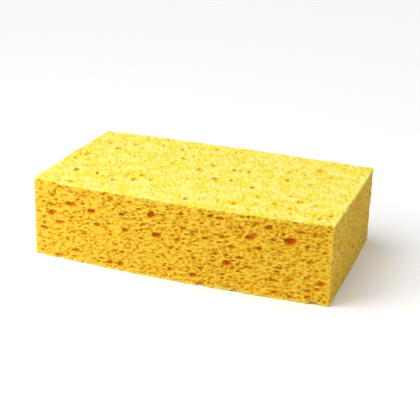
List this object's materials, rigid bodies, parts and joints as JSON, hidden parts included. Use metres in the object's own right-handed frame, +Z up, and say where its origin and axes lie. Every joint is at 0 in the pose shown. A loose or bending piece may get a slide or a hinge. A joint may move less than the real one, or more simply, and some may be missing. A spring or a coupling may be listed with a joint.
{
  "type": "cellulose block sponge",
  "caption": "Rectangular block sponge of yellow open-pored foam, with slightly bowed sides, for wetting, wiping and washing down surfaces.",
  "frame": {"origin": "middle of the base of the block's bounding box, on the surface it rests on", "axes": "+X along the length, +Y across the width from the front side to the back side, +Z up"},
  "size_m": [0.1916, 0.1138, 0.0508],
  "materials": {
    "cellulose_foam": "matte open-pored cellulose foam"
  },
  "bodies": {
    "root": {"sponge_block": "cellulose_foam"}
  },
  "joints": []
}
